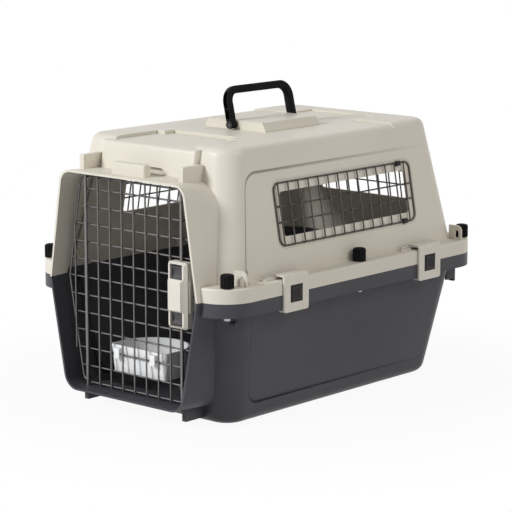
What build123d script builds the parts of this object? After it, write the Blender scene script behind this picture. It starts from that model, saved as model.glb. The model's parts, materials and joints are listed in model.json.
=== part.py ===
from build123d import *
import math
import os

# Pet transport carrier in two moulded halves: a dark tub and a pale upper shell, joined
# at a rim with hand knobs and side clips, with a swinging wire door in a deep surround.
# Millimetres. X across, Y along with the door at -Y, Z up from the floor. The origin is
# on the floor, halfway between the lip of the door surround and the back of the rim.

# ---- overall sizes ----
length = 572.0            # lip of the door surround to the back of the rim
rim_width = 381.0
seam_height = 183.5       # floor to the joint between the two halves
roof_height = 382.5
draft = 0.18              # inward lean of every wall for each unit of height
wall = 2.8

# ---- rim ----
lip_overhang = 8.5        # how far the door surround stands in front of the rim
side_ledge = 16.8         # rim edge to side wall at the seam
end_ledge = 21.5          # rim edge to end wall at the seam
rim_corner = 48.0
upper_band = 20.5         # height of the upper shell's share of the rim
lower_band = 19.5         # height of the tub's share
skirt = 2.6               # thickness of the rim's skirts and plates
rim_rounding = 3.0

# ---- cabin ----
corner_at_seam = 42.0
corner_taper = 0.04       # how much the corner radius shrinks for each unit of height
roof_edge = 13.0
floor_edge = 18.0
dip_depth = 4.5           # sunken front part of the roof
dip_half_width = 76.0
dip_tongue_half_width = 61.0
dip_length = 121.0        # cabin's front wall at the seam to the step behind the dip
dip_tongue_length = 141.0
rise_height = 2.5         # raised rear part of the roof
rise_length = 125.5       # cabin's rear wall at the seam to the step before the rise
rise_notch_half_width = 61.0
rise_notch_length = 75.5

# ---- panel over the door ----
bulge_depth = 10.0
bulge_half_width = 90.0
bulge_edge = 6.0
bulge_root = 12.0         # how far it runs down behind the surround's top
arch_half_width = 35.0
arch_height = 9.5
arch_corner = 7.0
hood_half_width = 32.0
hood_depth = 14.0
hood_height = 17.0
hood_setback = 14.0       # lip to the front of the hood
hood_corner = 3.0
hood_edge = 2.0
ear_outside = 99.0        # middle plane to the outer face of each ear
ear_thickness = 8.0
ear_height = 20.0
ear_setback = 19.5
ear_length = 40.0         # along its top
ear_slope = 12.0          # how much longer it is at its foot
ear_corner = 3.0

# ---- side panels ----
panel_depth = 2.8         # how far the panels are sunk at their front end
panel_front_setback = 37.0    # from the cabin's front wall at the seam
panel_back_setback = 50.5
upper_panel_drop = 33.0   # roof to the top edge of the upper panels
upper_panel_slant = 26.0  # how far the front edge leans back over its height
tub_panel_bottom = 26.0
tub_panel_slant = 30.0
tub_panel_top_setback = 9.0
tub_panel_top_drop = 4.0  # seam to the hidden top edge, behind the rim
panel_corner = 22.0
wall_cut = 20.0           # how far cuts reach out of a leaning wall

# ---- door surround, measured on its outside at the lip ----
surround_top = 339.5
surround_bottom = 26.0
surround_half_top = 118.0
surround_half_seam = 142.4
surround_half_bottom = 112.5
surround_corner_top = 20.0
surround_corner_back = 46.0   # the same corner where the surround meets the cabin
surround_corner_bottom = 25.0
surround_flare = 0.12     # how much wider it gets for each unit of depth
surround_wall = 3.0
skid_outside = 99.0
skid_thickness = 7.5
skid_height = 9.0         # floor to the underside of the skids

# ---- door ----
door_depth = 25.5         # lip to the plane where uprights and cross wires touch
wire = 2.6
frame_wire = 3.0
rod = 5.0
wire_pitch_x = 23.1
wire_pitch_z = 25.4
first_row_drop = 17.0     # frame wire's top to the first cross wire
row_count = 11
frame_half_top = 105.0
frame_half_seam = 130.0
frame_half_bottom = 103.0
frame_gap_top = 11.0      # inside edge of the surround's outline to the frame wire's middle
frame_gap_bottom = 7.9
frame_corner = 14.0
row_gap = 0.6             # cross wire end to the middle of the frame wire's inner side
rod_clearance = 0.3
socket_depth = 2.2        # blind holes in the surround that take the rods' ends
rod_end_gap = 0.4         # latch rods stand this far short of the surround until locked
guide_wire = 1.6

# ---- latch ----
latch_width = 36.0
latch_rise = 3.0          # middle of the surround to the middle of the latch
latch_height = 92.0
latch_depth = 14.0
latch_corner = 5.0
latch_edge = 4.0          # bevel round the front of the housing
cover_height = 45.0
cover_bulge = 4.0         # how far the cover stands in front of the housing
cover_overhang = 1.6      # and beside it
cover_side_bevel = 6.5
cover_side_depth = 0.45   # share of the housing's depth where the cover's bevels end
cover_end_bevel = (2.5, 3.5)
latch_wall = 3.2
button_width = 22.0
button_height = 28.0
lock_throw = 2.2          # slide that carries the latch rods into their sockets
button_play = 0.3
button_setback = 1.5
button_edge = 1.5
thumb_radius = 14.0       # hollow for the thumb
thumb_depth = 2.0
thumb_margin = 3.0
rod_grip = 12.0           # how far each latch rod runs into its button
back_plate_thickness = 2.5
back_plate_half_height = 26.0
screw = 3.0
screw_reach = 8.5
screw_head = 1.8
screw_row = 5             # cross wire between the upper and the lower pair of screws

# ---- handle and its platform ----
handle_setback = 1.5      # middle of the rim to the middle of the handle
handle_length = 144.0     # over the legs
handle_width = 11.0
leg_thickness = 12.0
pivot_rise = 7.1          # roof to the handle's pivot
handle_rise = 55.0        # pivot to the top of the grip
handle_corner = 24.0
handle_edge = 2.5
channel_wall = 2.0        # sides of the channels in the outside of the legs
channel_spans = ((9.0, 21.5), (24.0, 47.0))   # heights over the pivot
handle_lean = 13.0        # degrees past upright, towards -X
hub_radius = 5.8
pivot_pin = 5.0
pivot_pin_recess = 1.0
running_fit = 0.08
platform_gap = 1.0        # platform end to handle leg
platform_half_width = 58.0
platform_rise = 13.0
platform_bevel = 6.0
platform_foot = 2.0       # upright part of its sides, under the bevel
platform_groove = 2.5     # width of the groove along its middle
platform_groove_depth = 1.5
platform_groove_end = 14.0
pivot_bore_depth = 9.0
press_fit = 0.05

# ---- window grilles ----
window_height = 89.0      # over the frame wire, along the leaning wall
window_rise = 37.5        # rim to the lower edge of the window frames
side_window_length = 301.0
side_window_setback = 7.0 # middle of the rim to the middle of the side windows
rear_window_length = 206.0
window_margin = 13.5      # outside of the frame wire to the edge of the opening
window_corner = 12.0
opening_corner = 4.0
window_seat = 0.8         # how deep the frame wire's seat is
seat_margin = 3.0
grille_frame_wire = 2.6
grille_wire = 2.2
grille_pitch = 21.3
grille_cross_inset = 33.5
side_grille_first = 7.8   # outside of the frame wire to the first upright
side_clip_x = 123.6       # middle of the side window to its two dark clips
rear_clip_x = 10.65
upright_setback = 0.5     # upright's ends to the outside of the frame wire
cross_gap = 0.3           # cross wire's ends to the frame wire's inner edge
saddle_length = 9.0
saddle_width = 7.0
saddle_height = 2.8       # above the wall
saddle_inset = 1.0        # saddle's middle to the wire's middle

# ---- knobs and bolts ----
knob_radius = 9.4
knob_height = 18.5
corner_knob_inset = 9.0   # rim edge to knob axis
side_knob_inset = 11.9
side_knob_setback = 6.75  # middle of the rim to the side knobs
knob_edge = 3.0
knob_flutes = 12
flute_radius = 1.4
knob_cap = 5.0            # plastic over the end of the knob's bore
bolt_end_gap = 1.0        # bolt's end to the end of the knob's bore
niche_gap = 1.0           # round a side knob, where it stands into the wall
niche_headroom = 2.0
knob_lift = 0.3
bolt = 5.0
bolt_clearance = 0.3
bolt_head_width = 9.5
bolt_head_height = 4.0
boss_radius = 7.0

# ---- side clips ----
clip_length = 51.0
clip_thickness = 3.0
clip_rise = 7.0           # rim to the top of the clips
clip_gap = 0.5
clip_hook_gap = 2.3       # under the tub's skirt, so that the hook swings clear
clip_hook_reach = 7.0
clip_top_corner = 5.0
clip_foot_corner = 4.0
clip_front_setback = 134.5    # rim's front edge to the middle of the front clips
clip_rear_setback = 130.0
clip_barrel = 6.4
clip_axis_inset = 14.5    # rim edge to hinge axis
clip_axis_height = 3.5    # above the rim's ledge
clip_pin = 3.0
clip_pin_end = 2.0        # plastic left over each end of the pin's bore
clip_pin_play = 0.3       # pin's end to the end of its bore
knuckle_gap = 0.4
front_knuckle = 23.0
rear_knuckle = 8.0
insert_width = 25.0
insert_height = 24.0
insert_thickness = 1.6    # how deep it is let in
insert_proud = 0.5
insert_edge = 0.4
insert_play = 0.1

# ---- lugs on the rim ----
fin_thickness = 3.0
fin_rise = 20.5
fin_setback = 21.0        # from the cabin's front and rear walls at the seam
fin_edge = 4.5            # rim edge to the outer edge of the lugs
fin_corner = 8.0
fin_eye = 3.6             # radius of the arched eye
fin_eye_rise = 10.0       # rim to the middle of the eye's arch
peg_radius = 3.2          # small pegs on the tub's walls under the front corners
peg_root = 12.0           # side wall's plane to the hidden end of the pegs
peg_inset = 1.5           # and to their free end, out from the rounded corner
peg_drop = 14.0           # rim's underside to the middle of the pegs
bracket_drop = 31.0
bracket_inset = 40.5      # rim edge to the rear brackets
bracket_thickness = 3.0
bracket_root = 12.0       # how far it runs in under the cabin's rear wall
bracket_setback = 12.0    # rim's back edge to the bracket
bracket_rib = 4.0
bracket_rib_width = 6.0
bracket_step = 4.0        # how much further down the rib reaches

# ---- bowl ----
bowl_half_width = 54.0
bowl_straight = 27.0
bowl_height = 40.0
bowl_taper = 4.0          # how much narrower each side is at the bottom
bowl_corner = 7.0
bowl_edge = 2.0
bowl_rise = 10.5          # hooks to the brim
bowl_wall = 2.2
bowl_row = 9              # cross wire the bowl hangs from, counted from the top
bowl_gap = 1.4            # cross wires to the flat front of the bowl
hook_spacing = 69.3
hook_width = 10.0
hook_thickness = 2.4
hook_drop = 8.0
hook_play = 0.3
hook_brim_gap = 3.0
hook_edge = 1.0

# ---- places that follow from the sizes above ----
lip_y = -length / 2
rim_front = lip_y + lip_overhang
rim_back = length / 2
rim_length = rim_back - rim_front
rim_middle = (rim_front + rim_back) / 2
rim_top = seam_height + upper_band
rim_bottom = seam_height - lower_band
cabin_width = rim_width - 2 * side_ledge
cabin_length = rim_length - 2 * end_ledge
cabin_front = rim_front + end_ledge
cabin_back = rim_back - end_ledge
door_y = lip_y + door_depth
upright_y = door_y - wire / 2
row_y = door_y + wire / 2
frame_y = door_y + frame_wire / 2
hinge_x = -4 * wire_pitch_x
hinge_y = door_y - rod / 2
latch_x = -hinge_x
latch_y = hinge_y - rod_clearance
latch_middle = (surround_top + surround_bottom) / 2 + latch_rise
rod_top = surround_top - surround_wall - rod_end_gap
rod_bottom = surround_bottom + surround_wall + rod_end_gap
lean = math.atan(draft)
clip_axis_x = rim_width / 2 - clip_axis_inset
clip_axis_z = rim_top + clip_axis_height
panel_front = cabin_front + panel_front_setback
panel_back = cabin_back - panel_back_setback
window_bottom = rim_top + window_rise
side_window_middle = rim_middle + side_window_setback
side_knob_y = rim_middle + side_knob_setback
clip_middle_front = rim_front + clip_front_setback
clip_middle_rear = rim_back - clip_rear_setback
clip_top = rim_top + clip_rise
handle_middle = rim_middle + handle_setback
pivot_height = roof_height + pivot_rise
platform_top = roof_height + platform_rise
frame_top = surround_top - frame_gap_top
frame_bottom = surround_bottom + frame_gap_bottom
first_row = frame_top - first_row_drop
fin_top = rim_top + fin_rise
fin_reach = rim_width / 2 - fin_edge
bracket_x = rim_width / 2 - bracket_inset
platform_length = handle_length - 2 * leg_thickness - 2 * platform_gap
big = 1000.0              # larger than the whole object, for cutting halves
overlap = 1.0             # how far a form runs into its neighbour before they are joined


def box_between(low, high):
    size = [b - a for a, b in zip(low, high)]
    middle = [(a + b) / 2 for a, b in zip(low, high)]
    return Pos(*middle) * Box(*size)


def cylinder_along_y(x, z, y_start, y_end, radius):
    middle = Pos(x, (y_start + y_end) / 2, z)
    return middle * Rot(90, 0, 0) * Cylinder(radius, y_end - y_start)


def cylinder_along_x(y, z, x_start, x_end, radius):
    middle = Pos((x_start + x_end) / 2, y, z)
    return middle * Rot(0, 90, 0) * Cylinder(radius, x_end - x_start)


def cylinder_up(x, y, z_start, z_end, radius):
    return Pos(x, y, (z_start + z_end) / 2) * Cylinder(radius, z_end - z_start)


def mirrored(shape):
    return mirror(shape, about=Plane.YZ)


def both_sides(shape):
    return shape + mirrored(shape)


def above(height):
    return box_between((-big, -big, height), (big, big, big))


def below(height):
    return box_between((-big, -big, -big), (big, big, height))


# ---- forms shared by the two halves ----
def wall_inset(height):
    """How far the leaning walls have come in at a height."""
    return draft * abs(height - seam_height)


def cabin_section(height, inset):
    come_in = wall_inset(height) + inset
    radius = corner_at_seam - corner_taper * abs(height - seam_height) - inset
    outline = RectangleRounded(cabin_width - 2 * come_in, cabin_length - 2 * come_in, radius)
    return Pos(0, rim_middle, height) * outline


def cabin_block(end_height, inset, edge_radius):
    """The tapered body of one half, from the seam up to a roof or down to a floor."""
    upwards = end_height > seam_height
    end = end_height - inset if upwards else end_height + inset
    block = loft([cabin_section(seam_height, inset), cabin_section(end, inset)], ruled=True)
    end_face = block.faces().sort_by(Axis.Z)[-1 if upwards else 0]
    return fillet(end_face.edges(), edge_radius - inset)


def surround_section(y, inset):
    """The six-sided outline of the door surround, its top corners rounder further back."""
    wider = surround_flare * (y - lip_y) - inset
    high = surround_top - inset
    low = surround_bottom + inset
    right = [
        (surround_half_bottom + wider, low),
        (surround_half_seam + wider, seam_height),
        (surround_half_top + wider, high),
    ]
    left = [(-x, z) for x, z in reversed(right)]
    face = Polygon(*right, *left, align=None)
    share = (y - lip_y) / (surround_reach(surround_top) - lip_y)
    top_corner = surround_corner_top + share * (surround_corner_back - surround_corner_top)
    face = fillet(face.vertices().group_by(Axis.Y)[-1], top_corner - inset)
    face = fillet(face.vertices().group_by(Axis.Y)[0], surround_corner_bottom - inset)
    return Plane(origin=(0, y, 0), x_dir=(1, 0, 0), z_dir=(0, -1, 0)) * face


def surround_block(inset, start, reach):
    return loft([surround_section(start, inset), surround_section(reach, inset)], ruled=True)


def surround_reach(height):
    """Where the front wall of the cabin is at a height."""
    return cabin_front + wall_inset(height)


def surround_outside():
    return surround_block(0, lip_y, surround_reach(surround_top) + wall / 2)


def surround_inside():
    back = surround_reach(surround_top) + 2 * wall
    return surround_block(surround_wall, lip_y - overlap, back)


def rim_block(low, high, inset):
    outline = RectangleRounded(
        rim_width - 2 * inset, rim_length - 2 * inset, rim_corner - inset
    )
    return extrude(Pos(0, rim_middle, low) * outline, high - low)


def corner_knob_places():
    offset = rim_corner - (rim_corner - corner_knob_inset) / math.sqrt(2)
    x = rim_width / 2 - offset
    return {
        "front_right": (x, rim_front + offset),
        "front_left": (-x, rim_front + offset),
        "rear_right": (x, rim_back - offset),
        "rear_left": (-x, rim_back - offset),
    }


def side_knob_places():
    x = rim_width / 2 - side_knob_inset
    return {"middle_right": (x, side_knob_y), "middle_left": (-x, side_knob_y)}


def knob_places():
    return {**corner_knob_places(), **side_knob_places()}


def bolt_holes(low, high):
    radius = bolt / 2 + bolt_clearance
    return [cylinder_up(x, y, low, high, radius) for x, y in knob_places().values()]


def bosses(low, high):
    return [cylinder_up(x, y, low, high, boss_radius) for x, y in knob_places().values()]


def side_plane(height, sink):
    """A plane on the right wall, sunk at its front end and level with the wall behind."""
    turn = math.atan(panel_depth / (panel_back - panel_front)) if sink else 0.0
    upwards = 1 if height > seam_height else -1
    along = Vector(math.sin(turn), math.cos(turn), 0)
    up = Vector(-upwards * math.sin(lean), 0, math.cos(lean))
    depth = panel_depth * panel_back / (panel_back - panel_front) if sink else 0.0
    x = cabin_width / 2 - wall_inset(height) - depth
    return Plane(origin=(x, 0, height), x_dir=along, z_dir=along.cross(up))


def panel_outline(corners, margin):
    """A side panel: an outline with two rounded front corners, open to the back."""
    outline = Polygon(*corners, align=None)
    outline = fillet(outline.vertices().sort_by(Axis.X)[:2], panel_corner)
    return offset(outline, margin) if margin else outline


def panel_cut(height, corners):
    return extrude(side_plane(height, True) * panel_outline(corners, 0), wall_cut)


def panel_backing(height, corners):
    """What the cabin's hollow leaves standing behind a sunken panel."""
    plane = side_plane(height, True)
    slab = extrude(plane * panel_outline(corners, wall), wall_cut)
    return slab + extrude(plane * panel_outline(corners, wall), -wall)


# ---- upper shell ----
upper_panel_height = (rim_top + roof_height) / 2


def upper_panel_corners():
    low = rim_top - upper_panel_height
    high = roof_height - upper_panel_drop - upper_panel_height
    return [
        (panel_front, low),
        (panel_back, low),
        (panel_back, high),
        (panel_front + upper_panel_slant, high),
    ]


def dip_zone(inset):
    broad = box_between(
        (-dip_half_width - inset, -big, seam_height),
        (dip_half_width + inset, cabin_front + dip_length + inset, big),
    )
    tongue = box_between(
        (-dip_tongue_half_width - inset, -big, seam_height),
        (dip_tongue_half_width + inset, cabin_front + dip_tongue_length + inset, big),
    )
    return broad + tongue


def rise_zone(inset):
    start = cabin_back - rise_length + inset
    notch_end = cabin_back - rise_notch_length + inset
    back = box_between((-big, start, seam_height), (big, big, big))
    notch = box_between(
        (-rise_notch_half_width - inset, -big, 0),
        (rise_notch_half_width + inset, notch_end, big),
    )
    return back - notch


def roofed_block(inset):
    """The upper cabin with its sunken front roof and its raised rear roof."""
    block = cabin_block(roof_height, inset, roof_edge)
    high = cabin_block(roof_height + rise_height, inset, roof_edge)
    low = cabin_block(roof_height - dip_depth, inset, roof_edge)
    block = block + (high & rise_zone(inset))
    return block - (dip_zone(inset) - low)


def door_panel(inset):
    """The raised panel between the door surround and the front of the roof."""
    half = bulge_half_width - inset
    low = surround_top - bulge_root
    high = roof_height - dip_depth - inset
    proud = bulge_depth - inset
    profile = Polygon(
        (surround_reach(low) - proud, low),
        (surround_reach(high) - proud, high),
        (surround_reach(high) + 2 * wall, high),
        (surround_reach(low) + 2 * wall, low),
        align=None,
    )
    block = extrude(Plane.YZ * profile, half, both=True)
    slanted = block.faces().sort_by(Axis.Y)[0].edges()
    edges = [e for e in slanted if e.center().Z > low + 1]
    return fillet(edges, bulge_edge - inset)


def arch_block(margin):
    """The arched notch in the foot of the raised panel."""
    height = arch_height + margin
    half = arch_half_width + margin
    profile = Pos(0, surround_top) * RectangleRounded(2 * half, 2 * height, arch_corner + margin)
    back = surround_reach(roof_height)
    plane = Plane(origin=(0, back, 0), x_dir=(1, 0, 0), z_dir=(0, -1, 0))
    return extrude(plane * profile, back - lip_y) & above(surround_top)


def hood():
    front = lip_y + hood_setback
    block = box_between(
        (-hood_half_width, front, surround_top - overlap),
        (hood_half_width, front + hood_depth, surround_top + hood_height),
    )
    block = fillet(block.edges().filter_by(Axis.Z), hood_corner)
    return fillet(block.faces().sort_by(Axis.Z)[-1].edges(), hood_edge)


def ear():
    start = lip_y + ear_setback
    profile = Polygon(
        (start, surround_top - surround_wall),
        (start + ear_length + ear_slope, surround_top - surround_wall),
        (start + ear_length, surround_top + ear_height),
        (start, surround_top + ear_height),
        align=None,
    )
    profile = fillet(profile.vertices().group_by(Axis.Y)[-1], ear_corner)
    plane = Plane(origin=(ear_outside - ear_thickness, 0, 0), x_dir=(0, 1, 0), z_dir=(1, 0, 0))
    return extrude(plane * profile, ear_thickness)


def fin(y):
    """A tie lug: a plate from the cabin wall out to the rim with an arched eye."""
    inner = cabin_width / 2 - wall_inset(fin_top) - wall
    plate = box_between(
        (inner, y - fin_thickness / 2, rim_top - skirt),
        (fin_reach, y + fin_thickness / 2, fin_top),
    )
    outer_top = plate.edges().filter_by(Axis.Y).group_by(Axis.X)[-1].sort_by(Axis.Z)[-1]
    plate = fillet(outer_top, fin_corner)
    eye_x = (cabin_width / 2 - wall_inset(rim_top) + fin_reach) / 2
    eye_z = rim_top + fin_eye_rise
    eye = cylinder_along_y(eye_x, eye_z, y - fin_thickness, y + fin_thickness, fin_eye)
    slot = box_between(
        (eye_x - fin_eye, y - fin_thickness, rim_top),
        (eye_x + fin_eye, y + fin_thickness, eye_z),
    )
    return plate - eye - slot


def knuckles(middle):
    """The fixed hinge knuckles of a side clip, standing on the rim's ledge."""
    start = middle - clip_length / 2
    end = middle + clip_length / 2
    spans = [
        (start - knuckle_gap - front_knuckle, start - knuckle_gap),
        (end + knuckle_gap, end + knuckle_gap + rear_knuckle),
    ]
    radius = clip_barrel / 2
    parts = []
    for low, high in spans:
        tube = cylinder_along_y(clip_axis_x, clip_axis_z, low, high, radius)
        foot = box_between(
            (clip_axis_x - radius, low, rim_top - skirt / 2),
            (clip_axis_x + radius, high, clip_axis_z),
        )
        parts.append(tube + foot)
    bore = cylinder_along_y(
        clip_axis_x,
        clip_axis_z,
        spans[0][0] + clip_pin_end,
        spans[1][1] - clip_pin_end,
        clip_pin / 2 + running_fit,
    )
    return Compound(parts) - bore


def platform():
    start = handle_middle - platform_length / 2
    end = handle_middle + platform_length / 2
    top = box_between(
        (-platform_half_width, start, roof_height - overlap),
        (platform_half_width, end, platform_top),
    )
    rim = top.faces().sort_by(Axis.Z)[-1].edges()
    top = chamfer(rim.filter_by(Axis.Y), platform_rise - platform_foot, platform_bevel)
    groove = box_between(
        (-platform_groove / 2, start - overlap, platform_top - platform_groove_depth),
        (platform_groove / 2, end - platform_groove_end, platform_top + overlap),
    )
    radius = pivot_pin / 2 + press_fit
    for low, high in (
        (start - overlap, start + pivot_bore_depth),
        (end - pivot_bore_depth, end + overlap),
    ):
        top -= cylinder_along_y(0, pivot_height, low, high, radius)
    return top - groove


def window_outline(length_over_wire, margin):
    high = window_height - 2 * margin
    radius = max(window_corner - margin, opening_corner)
    return RectangleRounded(length_over_wire - 2 * margin, high, radius)


def window_cuts(plane, length_over_wire):
    """The opening of a window and the shallow seat for its frame wire."""
    seat = extrude(plane * window_outline(length_over_wire, -seat_margin), wall_cut)
    seat = Pos(*(plane.z_dir * -window_seat)) * seat
    outline = window_outline(length_over_wire, window_margin)
    opening = extrude(plane * outline, wall_cut, both=True)
    return seat + opening


def side_window_plane():
    rise = math.cos(lean) * window_height / 2
    base = side_plane(window_bottom + rise, True)
    return Plane(
        origin=base.origin + base.x_dir * side_window_middle, x_dir=base.x_dir, z_dir=base.z_dir
    )


def rear_window_plane():
    height = window_bottom + math.cos(lean) * window_height / 2
    origin = (0, cabin_back - wall_inset(height), height)
    return Plane(
        origin=origin, x_dir=(-1, 0, 0), z_dir=(0, math.cos(lean), math.sin(lean))
    )


def upper_shell():
    cabin = roofed_block(0)
    surround = surround_outside() & above(seam_height)
    rim = rim_block(seam_height, rim_top, 0)
    rim = fillet(rim.faces().sort_by(Axis.Z)[-1].edges(), rim_rounding)
    solid_core = cabin + surround
    channel = rim_block(seam_height, rim_top - skirt, skirt) - solid_core
    for boss in bosses(seam_height, rim_top):
        channel -= boss
    shell = solid_core + (rim - channel)
    shell += door_panel(0) - arch_block(0) - surround_inside()
    shell += hood()
    shell += both_sides(ear())
    shell += platform()
    for y in (cabin_front + fin_setback, cabin_back - fin_setback):
        shell += both_sides(fin(y))
    for middle in (clip_middle_front, clip_middle_rear):
        shell += both_sides(knuckles(middle))
    corners = upper_panel_corners()
    shell -= both_sides(panel_cut(upper_panel_height, corners))
    hollow = roofed_block(wall)
    hollow -= both_sides(panel_backing(upper_panel_height, corners))
    niche_radius = knob_radius + niche_gap
    niche_top = rim_top + knob_height + niche_headroom
    for x, y in side_knob_places().values():
        shell -= cylinder_up(x, y, rim_top, niche_top, niche_radius)
        hollow -= cylinder_up(x, y, seam_height, niche_top + wall, niche_radius + wall)
    hollow += door_panel(wall) - arch_block(wall)
    hollow += surround_inside() & above(seam_height)
    shell -= hollow
    side_window = window_cuts(side_window_plane(), side_window_length)
    shell -= both_sides(side_window)
    shell -= window_cuts(rear_window_plane(), rear_window_length)
    shell -= rod_sockets()
    for hole in bolt_holes(seam_height - overlap, rim_top + overlap):
        shell -= hole
    return shell


def rod_sockets():
    radius = rod / 2 + rod_clearance
    top_wall = surround_top - surround_wall
    bottom_wall = surround_bottom + surround_wall
    sockets = []
    for x, y in ((hinge_x, hinge_y), (latch_x, latch_y)):
        sockets.append(cylinder_up(x, y, top_wall - overlap, top_wall + socket_depth, radius))
        sockets.append(
            cylinder_up(x, y, bottom_wall - socket_depth, bottom_wall + overlap, radius)
        )
    return Compound(sockets)


# ---- tub ----
tub_panel_height = seam_height / 2


def tub_panel_corners():
    low = tub_panel_bottom - tub_panel_height
    high = seam_height - tub_panel_top_drop - tub_panel_height
    return [
        (panel_front + tub_panel_slant, low),
        (panel_back, low),
        (panel_back, high),
        (panel_front + tub_panel_top_setback, high),
    ]


def skid():
    start = door_y - wire
    return box_between(
        (skid_outside - skid_thickness, start, skid_height),
        (skid_outside, surround_reach(skid_height) + wall, surround_bottom + overlap),
    )


def peg():
    """A small round peg on the rounded front corner of the tub, under the tie lug."""
    height = rim_bottom - peg_drop
    face = cabin_width / 2 - wall_inset(height)
    y = cabin_front + fin_setback
    return cylinder_along_x(y, height, face - peg_root, face - peg_inset, peg_radius)


def rear_bracket():
    """A plate hanging under the rear rim, with a stiffening rib at its outer end."""
    low = rim_bottom - bracket_drop
    back = rim_back - bracket_setback
    outside = bracket_x + bracket_thickness
    plate = box_between(
        (bracket_x, cabin_back - bracket_root, low + bracket_step), (outside, back, rim_bottom)
    )
    rib = box_between(
        (bracket_x - bracket_rib_width, back - bracket_rib, low), (outside, back, rim_bottom)
    )
    return plate + rib


def lower_tub():
    cabin = cabin_block(0, 0, floor_edge)
    surround = surround_outside() & below(seam_height)
    solid_core = cabin + surround
    rim = rim_block(rim_bottom, seam_height, 0)
    channel = rim_block(rim_bottom, seam_height - skirt, skirt) - solid_core
    for boss in bosses(rim_bottom, seam_height):
        channel -= boss
    tub = solid_core + (rim - channel)
    tub += both_sides(skid())
    tub += both_sides(rear_bracket())
    tub += both_sides(peg())
    corners = tub_panel_corners()
    tub -= both_sides(panel_cut(tub_panel_height, corners)) & below(rim_bottom)
    hollow = cabin_block(0, wall, floor_edge)
    hollow -= both_sides(panel_backing(tub_panel_height, corners))
    hollow += surround_inside() & below(seam_height)
    tub -= hollow
    tub -= rod_sockets()
    for hole in bolt_holes(rim_bottom - overlap, seam_height + overlap):
        tub -= hole
    return tub


# ---- door ----
def row_height(row):
    return first_row - row * wire_pitch_z


def frame_half_width(height):
    """Half the width over the middles of the door's frame wire at a height."""
    if height > seam_height:
        share = (height - seam_height) / (frame_top - seam_height)
        return frame_half_seam + share * (frame_half_top - frame_half_seam)
    share = (seam_height - height) / (seam_height - frame_bottom)
    return frame_half_seam + share * (frame_half_bottom - frame_half_seam)


def bent_wire(outline, radius):
    """A round wire bent along the edge of an outline."""
    path = outline.faces()[0].outer_wire()
    start = Plane(origin=path @ 0, z_dir=path % 0)
    return sweep(start * Circle(radius), path)


def door_frame_wire():
    right = [
        (frame_half_bottom, frame_bottom),
        (frame_half_seam, seam_height),
        (frame_half_top, frame_top),
    ]
    left = [(-x, z) for x, z in reversed(right)]
    outline = Polygon(*right, *left, align=None)
    outline = fillet(outline.vertices(), frame_corner)
    plane = Plane(origin=(0, frame_y, 0), x_dir=(1, 0, 0), z_dir=(0, -1, 0))
    return bent_wire(plane * outline, frame_wire / 2)


def door_vertical_wires():
    low = frame_bottom - frame_wire / 2
    high = frame_top + frame_wire / 2
    radius = wire / 2
    wires = [
        cylinder_up(step * wire_pitch_x, upright_y, low, high, radius) for step in range(-3, 4)
    ]
    short_low = row_height(bowl_row) - radius
    short_high = row_height(2) + radius
    for step in (-5, 5):
        wires.append(
            cylinder_up(step * wire_pitch_x, upright_y, short_low, short_high, radius)
        )
    return Compound(wires)


def door_horizontal_wires():
    wires = []
    for row in range(row_count):
        height = row_height(row)
        half = frame_half_width(height) - frame_wire / 2 - row_gap
        wires.append(cylinder_along_x(row_y, height, -half, half, wire / 2))
    return Compound(wires)


def hinge_rod():
    into = socket_depth - rod_clearance
    low = surround_bottom + surround_wall - into
    high = surround_top - surround_wall + into
    return cylinder_up(hinge_x, hinge_y, low, high, rod / 2)


def latch_rod_guides():
    """A bent wire round each latch rod, its ends on the first and the last cross wire."""
    reach = rod / 2 + rod_clearance + guide_wire / 2
    guides = []
    for row in (0, row_count - 1):
        height = row_height(row)
        left = (latch_x - reach, door_y, height)
        right = (latch_x + reach, door_y, height)
        bend_left = (latch_x - reach, latch_y, height)
        bend_right = (latch_x + reach, latch_y, height)
        front = (latch_x, latch_y - reach, height)
        path = Wire([
            Line(left, bend_left),
            ThreePointArc(bend_left, front, bend_right),
            Line(bend_right, right),
        ])
        start = Plane(origin=left, z_dir=(0, -1, 0))
        guides.append(sweep(start * Circle(guide_wire / 2), path))
    return Compound(guides)


# ---- latch ----
def latch_ends():
    return latch_middle - latch_height / 2, latch_middle + latch_height / 2


def rod_slot(x, y, low, high, play):
    """Room for a latch rod, open to the back."""
    radius = rod / 2 + play
    back = box_between((x - radius, y, low), (x + radius, door_y + overlap, high))
    return cylinder_up(x, y, low, high, radius) + back


def latch_cover():
    """The bevelled bridge over the middle of the housing."""
    half = latch_width / 2
    front = door_y - latch_depth - cover_bulge
    bevel_end = door_y - latch_depth * cover_side_depth
    section = Polygon(
        (-half - cover_overhang, bevel_end),
        (-half + cover_side_bevel, front),
        (half - cover_side_bevel, front),
        (half + cover_overhang, bevel_end),
        align=None,
    )
    cover = extrude(Pos(latch_x, 0, latch_middle) * section, cover_height / 2, both=True)
    ends = cover.faces().sort_by(Axis.Y)[0].edges().filter_by(Axis.X)
    return chamfer(ends, *cover_end_bevel)


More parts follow.
